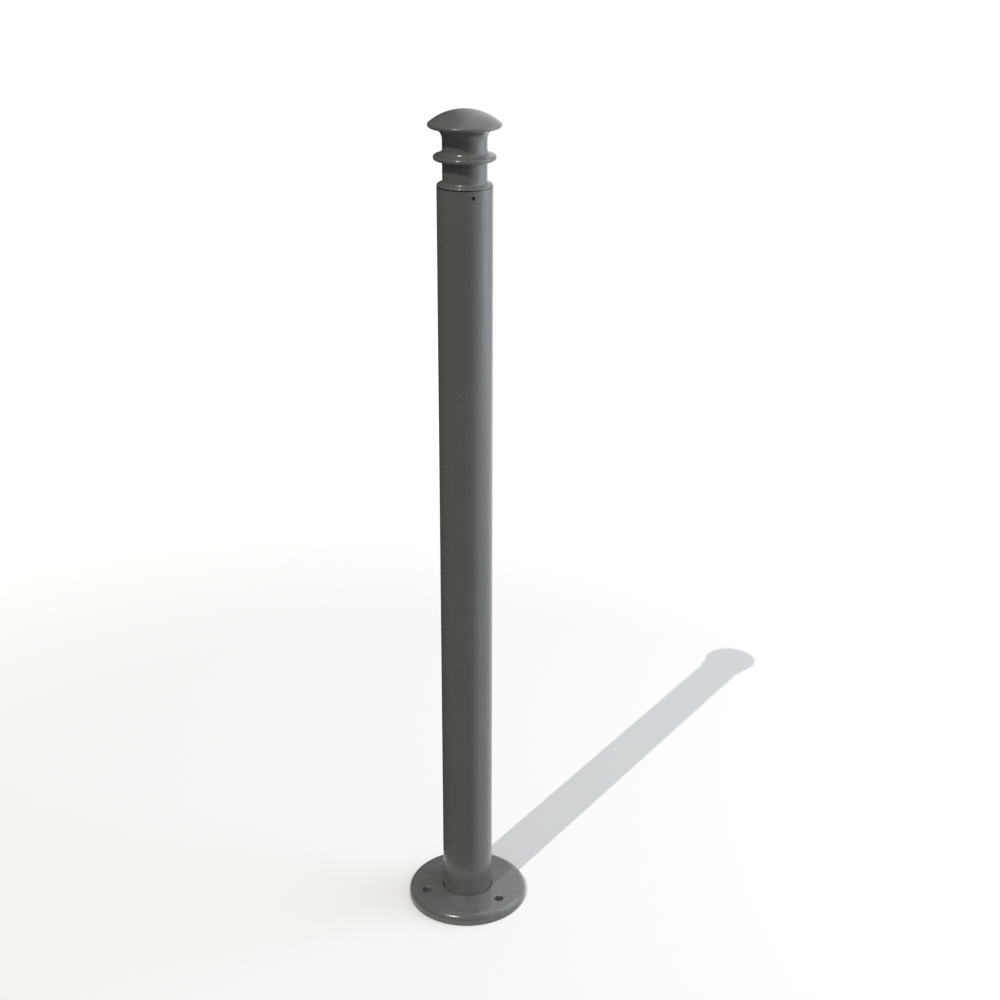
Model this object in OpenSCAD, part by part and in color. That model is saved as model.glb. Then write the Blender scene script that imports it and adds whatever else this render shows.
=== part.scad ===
// Bollard: a round tube post on a bolted base flange, with a cast mushroom head.
// Millimetres. Origin at the centre of the flange's underside, +Z up the post's axis.
// The locking screw of the head faces -Y, and the first anchor hole is on -X.

/* [Post tube] */
// Outside diameter of the tube
tube_d = 60.3; // [48.3:0.1:76.1]
// Wall thickness of the tube
tube_wall = 2.9; // [2.3:0.1:5]
// Height of the tube's top edge, where the head sits
seam_z = 894; // [700:1:1100]

/* [Base flange] */
// Diameter of the flange
flange_d = 146.4; // [130:0.2:180]
// Thickness of the flange
flange_t = 13.5; // [10:0.5:16]
// Radius of the round along the flange's top edge
flange_round = 9; // [2:0.5:9]
// Gap all round between the tube and the flange's bore
socket_gap = 0.8; // [0.3:0.1:1.5]
// Diameter of the circle that the anchor holes lie on
anchor_pcd = 106; // [100:1:116]
// Diameter of an anchor hole
anchor_hole_d = 11; // [9:0.5:13]
// Number of anchor holes
anchor_count = 3; // [3:1:6]

/* [Head casting] */
// Radius of the round at the shoulder's rim
shoulder_round = 2.3; // [1:0.1:3]
// Radius of the hollow between the shoulder and the neck
shoulder_fillet = 3.6; // [1:0.1:4]
// Diameter of the neck
neck_d = 48; // [44:0.5:52]
// Diameter of the ring round the neck
ring_d = 67.4; // [60:0.2:76]
// Height of the ring's middle above the seam
ring_z = 30; // [26:0.2:34]
// Thickness of the ring
ring_t = 5.6; // [4:0.2:7]
// Radius of the hollow between the ring and the neck above it
ring_fillet = 6.2; // [1:0.2:7]
// Diameter of the cap
cap_d = 78.6; // [74:0.2:90]
// Height of the cap's widest line above the seam
cap_z = 63.6; // [60:0.2:70]
// Rise of the dome above the cap's widest line
dome_rise = 16; // [12:0.2:22]
// Length of the spigot inside the tube
spigot_len = 40; // [30:1:60]

/* [Locking screw] */
// Thread diameter of the screw
screw_d = 4; // [3:0.5:5]
// Length of the screw
screw_len = 5; // [4:0.5:8]
// Depth of the screw's axis below the seam
screw_drop = 7.8; // [7:0.2:16]

/* [Hidden] */
$fn = 96;

tube_r = tube_d / 2;
bore_r = tube_r - tube_wall;
flange_r = flange_d / 2;
socket_r = tube_r + socket_gap;
anchor_r = anchor_hole_d / 2;
edge_break = 0.3;              // bevel on a machined edge
past = 1;                      // how far a cutting tool runs past the metal

// Recess under the flange that hides the weld
weld_leg = 3;
recess_r = tube_r + 6;
recess_depth = 4.5;
tube_foot_z = 1;               // the tube stops this far above the ground

// Head, with heights above the seam
neck_r = neck_d / 2;
shoulder_side = 0.1 + edge_break;
shoulder_top = shoulder_side + shoulder_round;
ring_round = ring_t / 2;
ring_rim_x = ring_d / 2 - ring_round;
under_fillet = 1.5;            // hollow between the ring and the neck below it
cap_round = 2.6;               // radius of the cap's rim
cap_rim_x = cap_d / 2 - cap_round;
cap_under_z = cap_z - cap_round;
cove_r = cap_rim_x - neck_r;   // hollow that runs from the neck to the cap's rim
crown = dome_rise - cap_round;
dome_drop = (cap_rim_x * cap_rim_x - crown * crown) / (2 * crown);
dome_r = dome_drop + dome_rise;
dome_edge_z = cap_z - dome_drop + dome_drop * dome_r / (dome_r - cap_round);
rim_proud = 0.01;              // how far the rim stands out of the dome where they meet
core_r = 17;                   // hollow inside the casting
core_top = 62;
core_dome_r = 40;
spigot_r = bore_r - 0.15;

// Locking screw
screw_recess = 0.8;            // how far the screw sits below the tube's surface
screw_hole_d = screw_d + 0.2;
hex_d = screw_d * 0.577;       // corner to corner of the hexagon socket
hex_depth = 2;
tip_len = 0.6;

module base_flange() {
    color("dimgray")
    difference() {
        rotate_extrude() {
            square([flange_r, flange_t - flange_round]);
            square([flange_r - flange_round, flange_t]);
            intersection() {
                translate([flange_r - flange_round, flange_t - flange_round])
                    circle(flange_round);
                square([flange_r, flange_t]);
            }
        }
        translate([0, 0, -past]) cylinder(r = socket_r, h = flange_t + 2 * past);
        translate([0, 0, -past]) cylinder(r = recess_r, h = recess_depth + past);
        for (i = [0 : anchor_count - 1])
            rotate([0, 0, 180 + i * 360 / anchor_count])
                translate([anchor_pcd / 2, 0, 0])
                    anchor_hole();
    }
}

// A through hole with its top edge broken
module anchor_hole() {
    translate([0, 0, -past]) cylinder(r = anchor_r, h = flange_t + 2 * past);
    translate([0, 0, flange_t - edge_break])
        cylinder(r1 = anchor_r, r2 = anchor_r + edge_break + past, h = edge_break + past);
}

module weld_bead() {
    color("dimgray")
    rotate_extrude()
        polygon([
            [tube_r, recess_depth],
            [tube_r, recess_depth - weld_leg],
            [tube_r + weld_leg, recess_depth]
        ]);
}

module post_tube() {
    color("dimgray")
    difference() {
        rotate_extrude()
            polygon([
                [bore_r, tube_foot_z],
                [tube_r, tube_foot_z],
                [tube_r, seam_z - edge_break],
                [tube_r - edge_break, seam_z],
                [bore_r, seam_z]
            ]);
        screw_cut(screw_hole_d, tube_r + past);
    }
}

// Cylinder on the screw's axis, from inside the spigot out to the given radius
module screw_cut(d, out_r) {
    from_r = tube_r - screw_recess - screw_len;
    translate([0, -from_r, seam_z - screw_drop])
        rotate([90, 0, 0])
            cylinder(d = d, h = out_r - from_r);
}

module head_casting() {
    color("dimgray")
    difference() {
        translate([0, 0, seam_z])
            rotate_extrude()
                difference() {
                    head_outline();
                    head_core();
                }
        screw_cut(screw_hole_d, tube_r + past);
    }
}

// Right half of the head's outline
module head_outline() {
    translate([0, -spigot_len]) square([spigot_r, spigot_len]);
    square([neck_r, cap_z]);
    shoulder_outline();
    ring_outline();
    cap_outline();
}

module shoulder_outline() {
    polygon([
        [0, 0],
        [tube_r - edge_break, 0],
        [tube_r, edge_break],
        [tube_r, shoulder_side],
        [0, shoulder_side]
    ]);
    translate([0, shoulder_side]) square([tube_r - shoulder_round, shoulder_round]);
    intersection() {
        translate([tube_r - shoulder_round, shoulder_side]) circle(shoulder_round);
        translate([0, shoulder_side]) square([tube_r, shoulder_round]);
    }
    fillet_above(shoulder_top, shoulder_fillet);
}

module ring_outline() {
    translate([ring_rim_x, ring_z]) circle(ring_round);
    translate([0, ring_z - ring_round]) square([ring_rim_x, ring_t]);
    fillet_above(ring_z + ring_round, ring_fillet);
    fillet_below(ring_z - ring_round, under_fillet);
}

module cap_outline() {
    translate([cap_rim_x, cap_z]) circle(cap_round);
    translate([0, cap_under_z]) square([cap_rim_x, dome_edge_z - cap_under_z]);
    intersection() {
        translate([0, cap_z - dome_drop - rim_proud]) circle(dome_r);
        translate([0, dome_edge_z]) square([cap_d, dome_rise]);
    }
    fillet_below(cap_under_z, cove_r);
}

// Hollow corner between the neck and a level face at height z, above or below that face
module fillet_above(z, r) {
    difference() {
        translate([0, z]) square([neck_r + r, r]);
        translate([neck_r + r, z + r]) circle(r);
    }
}
module fillet_below(z, r) {
    difference() {
        translate([0, z - r]) square([neck_r + r, r]);
        translate([neck_r + r, z - r]) circle(r);
    }
}

// Right half of the hollow inside the head, open at the foot of the spigot
module head_core() {
    translate([0, -spigot_len - past])
        intersection() {
            square([core_r, spigot_len + past + core_top]);
            translate([0, spigot_len + past + core_top - core_dome_r]) {
                translate([0, -spigot_len - core_top]) square([core_r, spigot_len + core_top]);
                circle(core_dome_r);
            }
        }
}

module locking_screw() {
    out_r = tube_r - screw_recess;
    color("black")
    translate([0, -out_r, seam_z - screw_drop])
        rotate([-90, 0, 0])
            difference() {
                union() {
                    cylinder(d = screw_d, h = screw_len - tip_len);
                    translate([0, 0, screw_len - tip_len])
                        cylinder(d1 = screw_d, d2 = screw_d - 2 * tip_len, h = tip_len);
                }
                translate([0, 0, -past]) cylinder(d = hex_d, h = hex_depth + past, $fn = 6);
            }
}

base_flange();
weld_bead();
post_tube();
head_casting();
locking_screw();
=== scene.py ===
from math import cos, pi, radians, sin
import bpy
import bmesh
from mathutils import Matrix, Vector


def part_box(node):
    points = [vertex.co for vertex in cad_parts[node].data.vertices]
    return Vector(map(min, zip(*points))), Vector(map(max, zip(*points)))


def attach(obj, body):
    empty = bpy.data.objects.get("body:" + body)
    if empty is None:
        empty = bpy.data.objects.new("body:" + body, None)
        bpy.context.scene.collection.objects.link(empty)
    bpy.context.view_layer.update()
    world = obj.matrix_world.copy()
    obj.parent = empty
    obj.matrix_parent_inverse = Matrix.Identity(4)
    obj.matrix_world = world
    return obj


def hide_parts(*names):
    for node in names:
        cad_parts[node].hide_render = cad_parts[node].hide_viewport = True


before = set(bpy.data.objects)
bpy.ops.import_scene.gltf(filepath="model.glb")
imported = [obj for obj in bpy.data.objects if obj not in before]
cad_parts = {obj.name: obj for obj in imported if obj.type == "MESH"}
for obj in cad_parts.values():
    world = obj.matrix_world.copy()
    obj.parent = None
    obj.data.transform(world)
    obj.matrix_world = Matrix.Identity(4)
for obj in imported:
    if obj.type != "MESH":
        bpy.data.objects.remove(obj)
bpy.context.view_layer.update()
scene = bpy.context.scene


# View, lights and ground. The post stands on a plain white studio floor, seen from a little above
# its own height. One hard lamp stands high at the front left and a broad cool panel at the right.
# A dark card wrapped round the left, out of sight and thinning towards its ends, keeps that side
# from shining.
eye = Matrix.Rotation(radians(-17.1), 4, "Z") @ Vector((0, -1.7618, 1.2639))
camera = bpy.data.objects.new("view", bpy.data.cameras.new("view"))
scene.collection.objects.link(camera)
camera.matrix_world = (
    Matrix.Translation(eye)
    @ Matrix.Rotation(radians(-17.1 - 2.0176), 4, "Z")
    @ Matrix.Rotation(radians(90 - 23.3448), 4, "X")
    @ Matrix.Rotation(radians(0.5726), 4, "Z")
)
camera.data.sensor_width = 36
camera.data.lens = 60.173
camera.data.shift_x = -0.0203
camera.data.shift_y = 0.0256
camera.data.clip_end = 50
scene.camera = camera
scene.view_settings.view_transform = "Standard"

key = bpy.data.objects.new("key_lamp", bpy.data.lights.new("key_lamp", "SUN"))
scene.collection.objects.link(key)
key.rotation_euler = Vector((-0.6123, -0.4839, 1)).to_track_quat("Z", "Y").to_euler()
key.data.energy = 1.35
key.data.color = (1.0, 0.97, 0.92)
key.data.angle = radians(0.25)

panel = bpy.data.objects.new("side_panel", bpy.data.lights.new("side_panel", "AREA"))
scene.collection.objects.link(panel)
panel.data.shape = "RECTANGLE"
panel.data.size = 1.8
panel.data.size_y = 2.6
panel.data.energy = 24
panel.data.color = (0.7, 0.86, 1.0)
panel.location = (2.0, -0.5, 1.2)
panel.rotation_euler = (panel.location - Vector((0, 0, 0.6))).to_track_quat("Z", "Y").to_euler()



def direct_sight(tree):
    """1 for rays that show the background plainly: from the camera, off gloss and through glass."""
    rays = tree.nodes.new("ShaderNodeLightPath")
    camera_or_gloss = tree.nodes.new("ShaderNodeMath")
    camera_or_gloss.operation = "MAXIMUM"
    tree.links.new(rays.outputs["Is Camera Ray"], camera_or_gloss.inputs[0])
    tree.links.new(rays.outputs["Is Glossy Ray"], camera_or_gloss.inputs[1])
    any_of_them = tree.nodes.new("ShaderNodeMath")
    any_of_them.operation = "MAXIMUM"
    tree.links.new(camera_or_gloss.outputs[0], any_of_them.inputs[0])
    tree.links.new(rays.outputs["Is Transmission Ray"], any_of_them.inputs[1])
    return any_of_them.outputs[0]


world = bpy.data.worlds.new("studio")
scene.world = world
world.use_nodes = True
sky = world.node_tree
sky.nodes.clear()

# Soft room light, brightest from above and the right
toward = sky.nodes.new("ShaderNodeTexCoord")
side = sky.nodes.new("ShaderNodeVectorMath")
side.operation = "DOT_PRODUCT"
side.inputs[1].default_value = (0.85, -0.05, 0.52)
sky.links.new(toward.outputs["Generated"], side.inputs[0])
fade = sky.nodes.new("ShaderNodeMapRange")
fade.inputs["From Min"].default_value = -0.5
fade.inputs["From Max"].default_value = 1.0
fade.inputs["To Min"].default_value = 0.19
fade.inputs["To Max"].default_value = 0.55
sky.links.new(side.outputs["Value"], fade.inputs["Value"])
soft = sky.nodes.new("ShaderNodeBackground")
soft.inputs["Color"].default_value = (0.98, 0.99, 1.0, 1)
sky.links.new(fade.outputs["Result"], soft.inputs["Strength"])
plain = sky.nodes.new("ShaderNodeBackground")
plain.inputs["Color"].default_value = (1, 1, 1, 1)
plain.inputs["Strength"].default_value = 1.0
which = sky.nodes.new("ShaderNodeMixShader")
sky.links.new(direct_sight(sky), which.inputs[0])
sky.links.new(soft.outputs[0], which.inputs[1])
sky.links.new(plain.outputs[0], which.inputs[2])
out = sky.nodes.new("ShaderNodeOutputWorld")
sky.links.new(which.outputs[0], out.inputs["Surface"])

# White paper, which lights the post less than it shows
floor_mesh = bpy.data.meshes.new("floor")
shape = bmesh.new()
bmesh.ops.create_circle(shape, cap_ends=True, segments=96, radius=12)
shape.to_mesh(floor_mesh)
shape.free()
floor = bpy.data.objects.new("floor", floor_mesh)
scene.collection.objects.link(floor)
floor_paper = bpy.data.materials.new("floor_paper")
floor_paper.use_nodes = True
paper = floor_paper.node_tree
seamless = paper.nodes["Principled BSDF"]
seamless.inputs["Base Color"].default_value = (0.99, 0.965, 0.94, 1)
seamless.inputs["Roughness"].default_value = 0.9
seamless.inputs["Specular IOR Level"].default_value = 0.1
seamless.inputs["Emission Color"].default_value = (1, 1, 1, 1)
across = paper.nodes.new("ShaderNodeTexCoord")
outward = paper.nodes.new("ShaderNodeVectorMath")
outward.operation = "LENGTH"
paper.links.new(across.outputs["Object"], outward.inputs[0])
# Painted light on the floor: the paper glows least round the post, which darkens it there like
# shade, and glows more further out.
painted_floor_glow = paper.nodes.new("ShaderNodeMapRange")
painted_floor_glow.inputs["From Min"].default_value = 0.78
painted_floor_glow.inputs["From Max"].default_value = 1.7
painted_floor_glow.inputs["To Min"].default_value = 0.14
painted_floor_glow.inputs["To Max"].default_value = 0.36
paper.links.new(outward.outputs["Value"], painted_floor_glow.inputs["Value"])
paper.links.new(painted_floor_glow.outputs["Result"], seamless.inputs["Emission Strength"])
dull = paper.nodes.new("ShaderNodeBsdfDiffuse")
dull.inputs["Color"].default_value = (0.3, 0.29, 0.28, 1)
paper_mix = paper.nodes.new("ShaderNodeMixShader")
paper.links.new(direct_sight(paper), paper_mix.inputs[0])
paper.links.new(dull.outputs[0], paper_mix.inputs[1])
paper.links.new(seamless.outputs[0], paper_mix.inputs[2])
paper.links.new(paper_mix.outputs[0], paper.nodes["Material Output"].inputs["Surface"])
floor_mesh.materials.append(floor_paper)

# The dark card, seen only in reflections
card_mesh = bpy.data.meshes.new("dark_card")
shape = bmesh.new()
card_r = 0.1
card_foot = 0.001
card_top = 1.5
card_sides = 60
posts = []
for step in range(card_sides + 1):
    turn = 2 * pi * step / card_sides
    posts.append((
        shape.verts.new((card_r * cos(turn), card_r * sin(turn), card_foot)),
        shape.verts.new((card_r * cos(turn), card_r * sin(turn), card_top)),
    ))
for near, far in zip(posts, posts[1:]):
    shape.faces.new((near[0], far[0], far[1], near[1]))
shape.to_mesh(card_mesh)
shape.free()
card = bpy.data.objects.new("dark_card", card_mesh)
scene.collection.objects.link(card)
card_cloth = bpy.data.materials.new("card_cloth")
card_cloth.use_nodes = True
card_nodes, card_links = card_cloth.node_tree.nodes, card_cloth.node_tree.links
card_shader = card_nodes["Principled BSDF"]
card_shader.inputs["Base Color"].default_value = (0.05, 0.05, 0.05, 1)
card_shader.inputs["Roughness"].default_value = 0.9
card_where = card_nodes.new("ShaderNodeTexCoord")
toward_left = card_nodes.new("ShaderNodeVectorMath")
toward_left.operation = "DOT_PRODUCT"
toward_left.inputs[1].default_value = (-1 / card_r, 0, 0)
card_links.new(card_where.outputs["Object"], toward_left.inputs[0])
card_fade = card_nodes.new("ShaderNodeMapRange")
card_fade.inputs["From Min"].default_value = -0.6
card_fade.inputs["From Max"].default_value = 0.0
card_links.new(toward_left.outputs["Value"], card_fade.inputs["Value"])
card_links.new(card_fade.outputs["Result"], card_shader.inputs["Alpha"])
card_mesh.materials.append(card_cloth)
card.visible_camera = False
card.visible_shadow = False
card.visible_diffuse = False


# Base flange. A turned steel disc with a rounded top edge, bored for the tube and drilled for the
# ground anchors, then powder coated in satin grey. It lies flat and the anchors hold it down.
def powder_coat_group():
    group = bpy.data.node_groups.new("powder_coat", "ShaderNodeTree")
    face = group.interface
    face.new_socket("Paint", in_out="INPUT", socket_type="NodeSocketColor")
    face.new_socket("Gloss roughness", in_out="INPUT", socket_type="NodeSocketFloat")
    face.new_socket("Peel size", in_out="INPUT", socket_type="NodeSocketFloat")
    face.new_socket("Colour", in_out="OUTPUT", socket_type="NodeSocketColor")
    face.new_socket("Roughness", in_out="OUTPUT", socket_type="NodeSocketFloat")
    face.new_socket("Height", in_out="OUTPUT", socket_type="NodeSocketFloat")
    nodes, links = group.nodes, group.links
    given = nodes.new("NodeGroupInput")
    made = nodes.new("NodeGroupOutput")
    where = nodes.new("ShaderNodeTexCoord")

    # Cloudy change of shade where the powder went on thicker
    clouds = nodes.new("ShaderNodeTexNoise")
    clouds.inputs["Scale"].default_value = 9
    clouds.inputs["Detail"].default_value = 4
    links.new(where.outputs["Object"], clouds.inputs["Vector"])
    shade = nodes.new("ShaderNodeMapRange")
    shade.inputs["From Min"].default_value = 0.3
    shade.inputs["From Max"].default_value = 0.7
    shade.inputs["To Min"].default_value = 0.94
    shade.inputs["To Max"].default_value = 1.06
    links.new(clouds.outputs["Fac"], shade.inputs["Value"])

    # Fine pale flecks of pigment
    flecks = nodes.new("ShaderNodeTexNoise")
    flecks.inputs["Scale"].default_value = 1500
    flecks.inputs["Detail"].default_value = 2
    links.new(where.outputs["Object"], flecks.inputs["Vector"])
    fleck_range = nodes.new("ShaderNodeMapRange")
    fleck_range.inputs["From Min"].default_value = 0.3
    fleck_range.inputs["From Max"].default_value = 0.75
    fleck_range.inputs["To Min"].default_value = 0.95
    fleck_range.inputs["To Max"].default_value = 1.08
    links.new(flecks.outputs["Fac"], fleck_range.inputs["Value"])
    both = nodes.new("ShaderNodeMath")
    both.operation = "MULTIPLY"
    links.new(shade.outputs["Result"], both.inputs[0])
    links.new(fleck_range.outputs["Result"], both.inputs[1])
    tint = nodes.new("ShaderNodeVectorMath")
    tint.operation = "SCALE"
    links.new(given.outputs["Paint"], tint.inputs[0])
    links.new(both.outputs[0], tint.inputs["Scale"])

    # Pale dust splashed up from the ground, thinning out over the lowest 12 cm
    level = nodes.new("ShaderNodeSeparateXYZ")
    links.new(where.outputs["Object"], level.inputs[0])
    low = nodes.new("ShaderNodeMapRange")
    low.inputs["From Min"].default_value = 0.0
    low.inputs["From Max"].default_value = 0.12
    low.inputs["To Min"].default_value = 0.22
    low.inputs["To Max"].default_value = 0.0
    links.new(level.outputs["Z"], low.inputs["Value"])
    spots = nodes.new("ShaderNodeTexNoise")
    spots.inputs["Scale"].default_value = 55
    spots.inputs["Detail"].default_value = 6
    links.new(where.outputs["Object"], spots.inputs["Vector"])
    spot_range = nodes.new("ShaderNodeMapRange")
    spot_range.inputs["From Min"].default_value = 0.45
    spot_range.inputs["From Max"].default_value = 0.75
    links.new(spots.outputs["Fac"], spot_range.inputs["Value"])
    dust = nodes.new("ShaderNodeMath")
    dust.operation = "MULTIPLY"
    links.new(low.outputs["Result"], dust.inputs[0])
    links.new(spot_range.outputs["Result"], dust.inputs[1])
    dusty = nodes.new("ShaderNodeMix")
    dusty.data_type = "RGBA"
    clean_colour, dust_colour, mixed_colour = dusty.inputs[6], dusty.inputs[7], dusty.outputs[2]
    dust_colour.default_value = (0.34, 0.32, 0.29, 1)
    links.new(dust.outputs[0], dusty.inputs["Factor"])
    links.new(tint.outputs["Vector"], clean_colour)

    # Painted shade in the joint between the tube and the head: the colour darkens in a thin band at
    # the seam, where shade falls in the groove.
    gap = nodes.new("ShaderNodeMath")
    gap.operation = "SUBTRACT"
    gap.inputs[1].default_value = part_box("post_tube")[1].z
    links.new(level.outputs["Z"], gap.inputs[0])
    away = nodes.new("ShaderNodeMath")
    away.operation = "ABSOLUTE"
    links.new(gap.outputs[0], away.inputs[0])
    painted_seam_shade = nodes.new("ShaderNodeMapRange")
    painted_seam_shade.inputs["From Min"].default_value = 0.00035
    painted_seam_shade.inputs["From Max"].default_value = 0.0009
    painted_seam_shade.inputs["To Min"].default_value = 0.12
    painted_seam_shade.inputs["To Max"].default_value = 1.0
    links.new(away.outputs[0], painted_seam_shade.inputs["Value"])
    seam_shaded_colour = nodes.new("ShaderNodeVectorMath")
    seam_shaded_colour.operation = "SCALE"
    links.new(mixed_colour, seam_shaded_colour.inputs[0])
    links.new(painted_seam_shade.outputs["Result"], seam_shaded_colour.inputs["Scale"])
    links.new(seam_shaded_colour.outputs["Vector"], made.inputs["Colour"])

    # Gloss that varies a little with handling
    smears = nodes.new("ShaderNodeTexNoise")
    smears.inputs["Scale"].default_value = 30
    smears.inputs["Detail"].default_value = 5
    links.new(where.outputs["Object"], smears.inputs["Vector"])
    smear_range = nodes.new("ShaderNodeMapRange")
    smear_range.inputs["From Min"].default_value = 0.3
    smear_range.inputs["From Max"].default_value = 0.7
    smear_range.inputs["To Min"].default_value = 0.85
    smear_range.inputs["To Max"].default_value = 1.2
    links.new(smears.outputs["Fac"], smear_range.inputs["Value"])
    rough = nodes.new("ShaderNodeMath")
    rough.operation = "MULTIPLY"
    links.new(given.outputs["Gloss roughness"], rough.inputs[0])
    links.new(smear_range.outputs["Result"], rough.inputs[1])
    links.new(rough.outputs[0], made.inputs["Roughness"])

    # Orange peel of the cured powder
    peel = nodes.new("ShaderNodeTexNoise")
    peel.inputs["Detail"].default_value = 2
    links.new(where.outputs["Object"], peel.inputs["Vector"])
    links.new(given.outputs["Peel size"], peel.inputs["Scale"])
    links.new(peel.outputs["Fac"], made.inputs["Height"])
    return group


powder_coat = powder_coat_group()


def coated_metal(name, paint, gloss_roughness, peel_size, peel_height):
    finish = bpy.data.materials.new(name)
    finish.use_nodes = True
    nodes, links = finish.node_tree.nodes, finish.node_tree.links
    shader = nodes["Principled BSDF"]
    shader.inputs["Coat Weight"].default_value = 0.4
    shader.inputs["Coat Roughness"].default_value = 0.22
    coat = nodes.new("ShaderNodeGroup")
    coat.node_tree = powder_coat
    coat.inputs["Paint"].default_value = (*paint, 1)
    coat.inputs["Gloss roughness"].default_value = gloss_roughness
    coat.inputs["Peel size"].default_value = peel_size
    links.new(coat.outputs["Colour"], shader.inputs["Base Color"])
    links.new(coat.outputs["Roughness"], shader.inputs["Roughness"])
    bump = nodes.new("ShaderNodeBump")
    bump.inputs["Distance"].default_value = peel_height
    links.new(coat.outputs["Height"], bump.inputs["Height"])
    links.new(bump.outputs["Normal"], shader.inputs["Normal"])
    return finish


def paint_part(node, finish):
    node.data.materials.clear()
    node.data.materials.append(finish)


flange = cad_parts["base_flange"]
paint_part(flange, coated_metal("flange_paint", (0.155, 0.153, 0.146), 0.25, 420, 0.00002))


# Weld bead. One run of weld between the tube's foot and the flange, laid in the recess on the
# underside so that the flange still lies flat. The ripples are where the weld pool froze.
weld_low, weld_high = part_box("weld_bead")
tube_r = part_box("post_tube")[1].x
weld_leg = weld_high.z - weld_low.z
weld_inset = 0.0001
weld_hollow = 0.0005
ripple_height = 0.00009
ripple_count = 68
weld_steps = 480
profile_points = 8
weld_mesh = bpy.data.meshes.new("weld_run")
shape = bmesh.new()
loops = []
for step in range(weld_steps):
    turn = 2 * pi * step / weld_steps
    ripple = ripple_height * sin(turn * ripple_count + 1.5 * sin(turn * 5))
    loop = [shape.verts.new((tube_r * cos(turn), tube_r * sin(turn), weld_high.z))]
    for part in range(profile_points):
        lean = pi / 2 * part / (profile_points - 1)
        reach = weld_leg - weld_inset - weld_hollow * sin(2 * lean) + ripple
        out_r = tube_r + reach * sin(lean)
        drop = reach * cos(lean)
        loop.append(shape.verts.new((out_r * cos(turn), out_r * sin(turn), weld_high.z - drop)))
    loops.append(loop)
loop_size = profile_points + 1
for near, far in zip(loops, loops[1:] + loops[:1]):
    for i in range(loop_size):
        after = (i + 1) % loop_size
        face = shape.faces.new((near[i], near[after], far[after], far[i]))
        face.smooth = 0 < i < profile_points
bmesh.ops.recalc_face_normals(shape, faces=shape.faces)
shape.to_mesh(weld_mesh)
shape.free()
weld = bpy.data.objects.new("weld_run", weld_mesh)
scene.collection.objects.link(weld)
weld_mesh.materials.append(coated_metal("weld_paint", (0.145, 0.143, 0.136), 0.4, 500, 0.00006))
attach(weld, "root")
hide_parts("weld_bead")


# Post tube. A length of plain steel tube with a small tapped hole near its top, powder coated
# with the flange after welding.
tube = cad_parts["post_tube"]
paint_part(tube, coated_metal("tube_paint", (0.155, 0.153, 0.146), 0.25, 420, 0.00002))


# Head casting. One casting of shoulder, neck, ring and domed cap, with a spigot that slides into
# the tube, powder coated by itself before it goes on.
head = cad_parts["head_casting"]
paint_part(head, coated_metal("head_paint", (0.155, 0.153, 0.146), 0.25, 380, 0.00002))


# Locking screw. A black hexagon socket screw through the tube's wall that grips the spigot. It is
# cut from steel bar with a rolled thread and sits just below the tube's surface.
screw_low, screw_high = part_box("locking_screw")
screw_len = 0.005
thread_r = 0.00199
thread_depth = 0.00038
thread_pitch = 0.0007
thread_start = 0.0004
rows_per_pitch = 10
thread_rows = 60
socket_r = 0.00115
socket_depth = 0.002
screw_sides = 48
turns = [2 * pi * side / screw_sides for side in range(screw_sides)]


def screw_row(depth, reaches):
    """One row of points round the screw, so far behind its face and so far from its axis."""
    return [shape.verts.new((r * cos(t), depth, r * sin(t))) for r, t in zip(reaches, turns)]


screw_mesh = bpy.data.meshes.new("socket_screw")
shape = bmesh.new()
hexagon = [socket_r * cos(pi / 6) / cos((t % (pi / 3)) - pi / 6) for t in turns]
rows = [
    screw_row(socket_depth, hexagon),
    screw_row(0, hexagon),
    screw_row(0, [0.0016] * screw_sides),
    screw_row(0.0003, [0.0019] * screw_sides),
]
for ridge in range(thread_rows):
    depth = thread_start + ridge * thread_pitch / rows_per_pitch
    along = [(depth / thread_pitch - side / screw_sides) % 1 for side in range(screw_sides)]
    rows.append(screw_row(depth, [thread_r - thread_depth * abs(2 * a - 1) for a in along]))
rows.append(screw_row(screw_len, [0.0013] * screw_sides))
shape.faces.new(rows[0])
shape.faces.new(rows[-1])
for near, far in zip(rows, rows[1:]):
    for i in range(screw_sides):
        after = (i + 1) % screw_sides
        shape.faces.new((near[i], near[after], far[after], far[i]))
bmesh.ops.recalc_face_normals(shape, faces=shape.faces)
shape.to_mesh(screw_mesh)
shape.free()
screw = bpy.data.objects.new("socket_screw", screw_mesh)
scene.collection.objects.link(screw)
screw.location = (0, screw_low.y, (screw_low.z + screw_high.z) / 2)
screw_mesh.materials.append(coated_metal("black_oxide", (0.02, 0.02, 0.02), 0.45, 900, 0.00001))
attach(screw, "root")
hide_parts("locking_screw")
